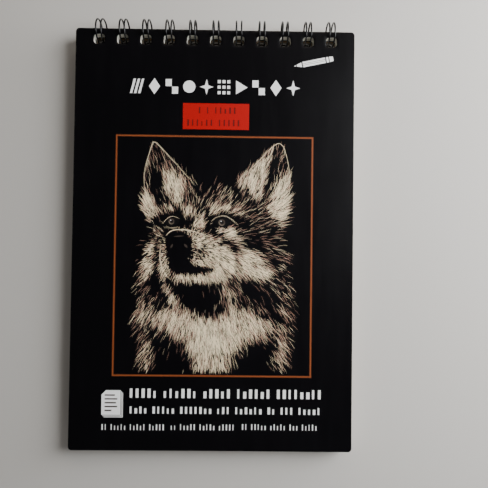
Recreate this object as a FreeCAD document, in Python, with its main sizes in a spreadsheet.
import FreeCAD, Part
import math
import os
import Sketcher

# A top-bound sketchbook, 6 by 9 inches: a card front cover, fifty leaves in three papers, a board back
# cover, and one black twin-loop wire that runs through a row of holes along the top edge.
#
# The book is drawn in its own frame: X across the page, Y up the page, Z through the stack from the
# underside of the back cover. Every piece then gets the same Placement, which tips the book by a
# fraction of a degree so that it stands as it does on a table, on the loops at the top and on the
# bottom edge of the back cover, and puts the origin under the middle of its bounding box.

DRIVING = [
    ("page_width", 152.4, "width of the covers and leaves, 6 in"),
    ("page_height", 228.6, "height of the covers and leaves, 9 in"),
    ("corner_radius", 2.0, "rounding of the outer corners"),
    ("paper_thickness", 0.115, "one leaf of 100 gsm paper"),
    ("air_gap", 0.01, "air between one leaf and the next"),
    ("front_thickness", 0.4, "front cover, coated card"),
    ("back_thickness", 1.4, "back cover, grey board"),
    ("white_count", 30, "white leaves, under the front cover"),
    ("black_count", 10, "black leaves, under the white ones"),
    ("tan_count", 10, "toned tan leaves, at the back"),
    ("hole_pitch", 12.7, "two holes to the inch"),
    ("hole_width", 6.0, "one hole, across the page"),
    ("hole_corner", 1.8, "rounding of a hole's corners"),
    ("hole_margin", 3.0, "paper left between a hole and the top edge"),
    ("side_margin", 8.0, "least distance from a side edge to a hole's centre"),
    ("wire_diameter", 0.9, "coated steel wire"),
    ("wire_play", 1.0, "least room between the wire and the edge of a hole"),
    ("axis_outset", 0.15, "from the top edges of the leaves out to the middle of the loops"),
    ("twin_spacing", 2.9, "between the two wires of one loop"),
    ("root_radius", 1.0, "bend where a loop leaves the spine of the wire"),
    ("seam_angle", 22.0, "how far the spine lies inside the lowest point of the loops, in degrees"),
    ("tip_gap", 0.3, "gap between a loop's closed tip and the spine of the wire"),
]

# Sizes that follow from the driving ones, so that whatever fits together stays together.
DERIVED = [
    ("leaf_pitch", "paper_thickness + air_gap"),
    ("leaf_count", "white_count + black_count + tan_count"),
    ("first_leaf_z", "back_thickness + air_gap"),
    ("front_z", "first_leaf_z + leaf_count * leaf_pitch"),
    ("stack_height", "front_z + front_thickness"),
    ("wire_radius", "wire_diameter / 2"),
    # The loops are centred on the axis that the leaves turn about: halfway up the stack, and just clear
    # of its top edges, so that a turning leaf keeps its hole around the wire and never meets the next.
    ("axis_y", "page_height / 2 + axis_outset"),
    ("axis_z", "stack_height / 2"),
    ("loop_bore", "sqrt(axis_z ^ 2 + (hole_margin + axis_outset + wire_play) ^ 2)"),
    ("loop_radius", "loop_bore + wire_radius"),
    ("loop_outer", "loop_radius + wire_radius"),
    ("hole_depth", "loop_outer - axis_outset + 2 * wire_play - hole_margin"),
    ("hole_y", "page_height / 2 - hole_margin - hole_depth / 2"),
    ("hole_count", "floor((page_width - 2 * side_margin) / hole_pitch) + 1"),
    ("hole_run", "(hole_count - 1) * hole_pitch"),
    # Lying on a table the book leans on its loops, so the whole of it is tipped about the bottom edge.
    ("axis_reach", "page_height / 2 + axis_y"),
    ("rest_tilt", "asin(loop_outer / sqrt(axis_reach ^ 2 + axis_z ^ 2)) - atan(axis_z / axis_reach)"),
    ("lowest_y", "-page_height / 2 - stack_height * sin(rest_tilt)"),
    ("highest_y", "loop_outer + axis_reach * cos(rest_tilt) - axis_z * sin(rest_tilt) - page_height / 2"),
]

SHEET = "sizes"
FIRST_ROW = 2
MAX_VOLUME_ERROR = 0.01

# A rounded rectangle is first drawn about this big, and its constraints then set the true sizes.
DRAWN_HALF_WIDTH, DRAWN_HALF_HEIGHT, DRAWN_RADIUS = 20.0, 30.0, 2.0

# How a sketch's constraints name a line's or arc's two ends, and the sketch's own origin.
START, END = 1, 2
SKETCH_ORIGIN = -1


def make_sizes(doc):
    """The spreadsheet of named sizes that everything else is bound to."""
    cells = doc.addObject("Spreadsheet::Sheet", SHEET)
    row = FIRST_ROW
    for alias, value, note in DRIVING:
        cells.set(f"A{row}", alias)
        cells.set(f"B{row}", str(value))
        cells.set(f"C{row}", note)
        cells.setAlias(f"B{row}", alias)
        row += 1
    for alias, formula in DERIVED:
        cells.set(f"A{row}", alias)
        cells.set(f"B{row}", "=" + formula)
        cells.setAlias(f"B{row}", alias)
        row += 1
    doc.recompute()
    return cells


def size(cells, alias):
    """A cell's value as a plain number, in millimetres or degrees."""
    value = getattr(cells, alias)
    return float(getattr(value, "Value", value))


def place_at_rest(cells, piece):
    """Tips a piece about the back cover's bottom edge, and sets it over the origin."""
    tilt = size(cells, "rest_tilt")
    pivot = FreeCAD.Vector(0, -size(cells, "page_height") / 2, 0)
    middle = (size(cells, "lowest_y") + size(cells, "highest_y")) / 2
    turn = FreeCAD.Placement(FreeCAD.Vector(), FreeCAD.Rotation(FreeCAD.Vector(1, 0, 0), tilt), pivot)
    piece.Placement = FreeCAD.Placement(FreeCAD.Vector(0, -middle, 0), FreeCAD.Rotation()) * turn


def origin_plane(body, role):
    """One of a Body's own planes or axes, by its role."""
    return next(f for f in body.Origin.OriginFeatures if f.Role == role)


def rounded_rectangle(sketch, centre, width, height, radius):
    """Draws a constrained rounded rectangle. The sizes, and centre's two, are formulas of sheet cells."""
    line, arc = Part.LineSegment, Part.ArcOfCircle
    vector, up = FreeCAD.Vector, FreeCAD.Vector(0, 0, 1)
    half_w, half_h, r = DRAWN_HALF_WIDTH, DRAWN_HALF_HEIGHT, DRAWN_RADIUS
    corners = [(-1, -1, 180), (1, -1, 270), (1, 1, 0), (-1, 1, 90)]
    sides = [
        line(vector(-half_w + r, -half_h), vector(half_w - r, -half_h)),
        line(vector(half_w, -half_h + r), vector(half_w, half_h - r)),
        line(vector(half_w - r, half_h), vector(-half_w + r, half_h)),
        line(vector(-half_w, half_h - r), vector(-half_w, -half_h + r)),
    ]
    for side in sides:
        sketch.addGeometry(side, False)
    for sx, sy, start in corners:
        middle = vector(sx * (half_w - r), sy * (half_h - r))
        circle = Part.Circle(middle, up, r)
        sketch.addGeometry(arc(circle, math.radians(start), math.radians(start + 90)), False)
    # Sides are 0 bottom, 1 right, 2 top, 3 left; the arcs 4 to 7 start at the bottom left, going round.
    bottom, right, top, left = range(4)
    first_arc = 4
    for n in range(4):
        before, corner = (n + 3) % 4, first_arc + n
        sketch.addConstraint(Sketcher.Constraint("Tangent", before, END, corner, START))
        sketch.addConstraint(Sketcher.Constraint("Tangent", corner, END, n, START))
    for other in range(1, 4):
        sketch.addConstraint(Sketcher.Constraint("Equal", first_arc, first_arc + other))
    for level, upright in ((bottom, right), (top, left)):
        sketch.addConstraint(Sketcher.Constraint("Horizontal", level))
        sketch.addConstraint(Sketcher.Constraint("Vertical", upright))
    across, along, round_off = "DistanceX", "DistanceY", "Radius"
    named = [
        ("radius", (round_off, first_arc, r), radius),
        ("width", (across, left, END, right, START, 2 * half_w), width),
        ("height", (along, bottom, START, top, END, 2 * half_h), height),
        ("left", (across, left, END, SKETCH_ORIGIN, START, half_w), f"({width}) / 2 - ({centre[0]})"),
        ("top", (along, SKETCH_ORIGIN, START, top, END, half_h), f"({height}) / 2 + ({centre[1]})"),
    ]
    for name, constraint, formula in named:
        index = sketch.addConstraint(Sketcher.Constraint(*constraint))
        sketch.renameConstraint(index, name)
        sketch.setExpression(f"Constraints.{name}", formula)


def make_leaf(doc, cells, name, height, thickness):
    """A cover or leaf: a rounded sheet with a row of holes. height and thickness are formulas of cells."""
    body = doc.addObject("PartDesign::Body", name)
    body.Label = name
    outline = body.newObject("Sketcher::SketchObject", name + "_outline")
    outline.AttachmentSupport = [(origin_plane(body, "XY_Plane"), "")]
    outline.MapMode = "FlatFace"
    outline.setExpression(".AttachmentOffset.Base.z", height)
    rounded_rectangle(
        outline, ("0", "0"), f"{SHEET}.page_width", f"{SHEET}.page_height", f"{SHEET}.corner_radius"
    )
    pad = body.newObject("PartDesign::Pad", name + "_pad")
    pad.Profile = outline
    pad.setExpression("Length", thickness)

    hole = body.newObject("Sketcher::SketchObject", name + "_hole")
    hole.AttachmentSupport = [(origin_plane(body, "XY_Plane"), "")]
    hole.MapMode = "FlatFace"
    hole.setExpression(".AttachmentOffset.Base.z", height)
    rounded_rectangle(
        hole,
        (f"-{SHEET}.hole_run / 2", f"{SHEET}.hole_y"),
        f"{SHEET}.hole_width",
        f"{SHEET}.hole_depth",
        f"{SHEET}.hole_corner",
    )
    cut = body.newObject("PartDesign::Pocket", name + "_cut")
    cut.Profile = hole
    cut.Reversed = True
    cut.setExpression("Length", thickness)

    row = body.newObject("PartDesign::LinearPattern", name + "_row")
    row.Originals = [cut]
    row.Direction = (origin_plane(body, "X_Axis"), [""])
    row.setExpression("Length", f"{SHEET}.hole_run")
    row.setExpression("Occurrences", f"{SHEET}.hole_count")
    body.Tip = row
    place_at_rest(cells, body)
    return body


def leaf_volume(cells, thickness):
    """What a cover or leaf should measure, to catch a cut that missed."""

    def area(width, height, radius):
        return width * height - (4 - math.pi) * radius**2

    sheet = area(size(cells, "page_width"), size(cells, "page_height"), size(cells, "corner_radius"))
    hole = area(size(cells, "hole_width"), size(cells, "hole_depth"), size(cells, "hole_corner"))
    return (sheet - size(cells, "hole_count") * hole) * thickness


def wire_path(cells):
    """The wire's centre line, as edges in order: spine, up and round a loop, back down, spine, and so on."""
    radius, spacing = size(cells, "loop_radius"), size(cells, "twin_spacing")
    root, half = size(cells, "root_radius"), size(cells, "wire_radius")
    centre_y, centre_z = size(cells, "axis_y"), size(cells, "axis_z")
    spine_angle = math.radians(-90 - size(cells, "seam_angle"))
    root_angle = spine_angle + math.atan(root / radius)
    spine_side = (half + size(cells, "tip_gap")) / radius
    tip_reach = math.atan((spacing / 2 + half) / radius)
    tip_angle = spine_angle + 2 * math.pi - spine_side - tip_reach

    def at(x, angle, along=0.0):
        """A point at x, round the loop by an angle, and then so far along the loop's tangent."""
        y = centre_y + radius * math.cos(angle) - along * math.sin(angle)
        z = centre_z + radius * math.sin(angle) + along * math.cos(angle)
        return FreeCAD.Vector(x, y, z)

    def bend(first, halfway, last):
        """The round bend at a loop's root or tip, through three points."""
        return Part.Arc(first, halfway, last).toShape()

    def ring(x, first, last):
        """The open circle of one of a loop's two wires."""
        return bend(at(x, first), at(x, (first + last) / 2), at(x, last))

    def spine(first, last):
        """A straight length between two loops."""
        return Part.makeLine(at(first, root_angle, -root), at(last, root_angle, -root))

    edges = []
    count, pitch = round(size(cells, "hole_count")), size(cells, "hole_pitch")
    reach = spacing / 2 + root
    quarter = root * math.sqrt(0.5)
    for n in range(count):
        x = (n - (count - 1) / 2) * pitch
        left, right = x - spacing / 2, x + spacing / 2
        spine_from = x - pitch / 2 if n else x - reach - root
        edges.append(spine(spine_from, x - reach))
        into = at(left - root + quarter, root_angle, -quarter)
        edges.append(bend(at(left - root, root_angle, -root), into, at(left, root_angle)))
        edges.append(ring(left, root_angle, tip_angle))
        edges.append(bend(at(left, tip_angle), at(x, tip_angle, spacing / 2), at(right, tip_angle)))
        edges.append(ring(right, tip_angle, root_angle))
        out = at(right + root - quarter, root_angle, -quarter)
        edges.append(bend(at(right, root_angle), out, at(right + root, root_angle, -root)))
        spine_to = x + pitch / 2 if n < count - 1 else x + reach + root
        edges.append(spine(x + reach, spine_to))
    return edges


def make_wire(doc, cells):
    """The twin-loop wire, swept in one length: eleven closed loops joined by a spine under the board."""
    edges = wire_path(cells)
    path = Part.Wire(edges)
    start, along = edges[0].Vertexes[0].Point, FreeCAD.Vector(1, 0, 0)
    section = Part.Wire(Part.makeCircle(size(cells, "wire_radius"), start, along))
    solid = path.makePipeShell([section], True, True)
    expected = path.Length * math.pi * size(cells, "wire_radius") ** 2
    if abs(solid.Volume - expected) > MAX_VOLUME_ERROR * expected:
        raise RuntimeError(f"the wire measures {solid.Volume:.1f} mm3 and not {expected:.1f}")
    wire = doc.addObject("Part::Feature", "twin_loop_wire")
    wire.Label = "twin_loop_wire"
    wire.Shape = solid
    place_at_rest(cells, wire)
    print(f"wire: {path.Length:.1f} mm long, {solid.Volume:.1f} mm3, {len(solid.Solids)} solid")
    return wire


def make_leaves(doc, cells):
    """The covers and every leaf between them, from the back board up."""
    pieces = [(make_leaf(doc, cells, "back_cover", "0", f"{SHEET}.back_thickness"), "back_thickness")]
    papers = [("white_sheet", "white_count"), ("black_sheet", "black_count"), ("tan_sheet", "tan_count")]
    order = [f"{paper}_{n + 1:02d}" for paper, count in papers for n in range(round(size(cells, count)))]
    for above, name in enumerate(reversed(order)):
        height = f"{SHEET}.first_leaf_z + {above} * {SHEET}.leaf_pitch"
        pieces.append((make_leaf(doc, cells, name, height, f"{SHEET}.paper_thickness"), "paper_thickness"))
    front = make_leaf(doc, cells, "front_cover", f"{SHEET}.front_z", f"{SHEET}.front_thickness")
    pieces.append((front, "front_thickness"))
    return pieces


def check(doc, cells, leaves, wire):
    """Stops the build if an object failed, or a piece is empty, invalid or the wrong volume."""
    for item in doc.Objects:
        if "Invalid" in item.State or "Error" in item.State:
            raise RuntimeError(f"{item.Label} did not recompute: {item.State}")
    for piece in [body for body, _ in leaves] + [wire]:
        if piece.Shape.isNull() or not piece.Shape.isValid() or len(piece.Shape.Solids) != 1:
            raise RuntimeError(f"{piece.Label} is not one valid solid")
    for body, thickness in leaves:
        expected = leaf_volume(cells, size(cells, thickness))
        if abs(body.Shape.Volume - expected) > MAX_VOLUME_ERROR * expected:
            raise RuntimeError(f"{body.Label} measures {body.Shape.Volume:.1f} mm3 and not {expected:.1f}")


def main():
    doc = FreeCAD.newDocument("sketchbook")
    cells = make_sizes(doc)
    leaves = make_leaves(doc, cells)
    wire = make_wire(doc, cells)
    doc.recompute()
    check(doc, cells, leaves, wire)
    os.makedirs("parts", exist_ok=True)
    for piece in [body for body, _ in leaves] + [wire]:
        piece.Shape.exportStep(os.path.join("parts", piece.Label + ".step"))
    for alias, _ in DERIVED:
        print(f"{alias} = {size(cells, alias):.4f}")


main()
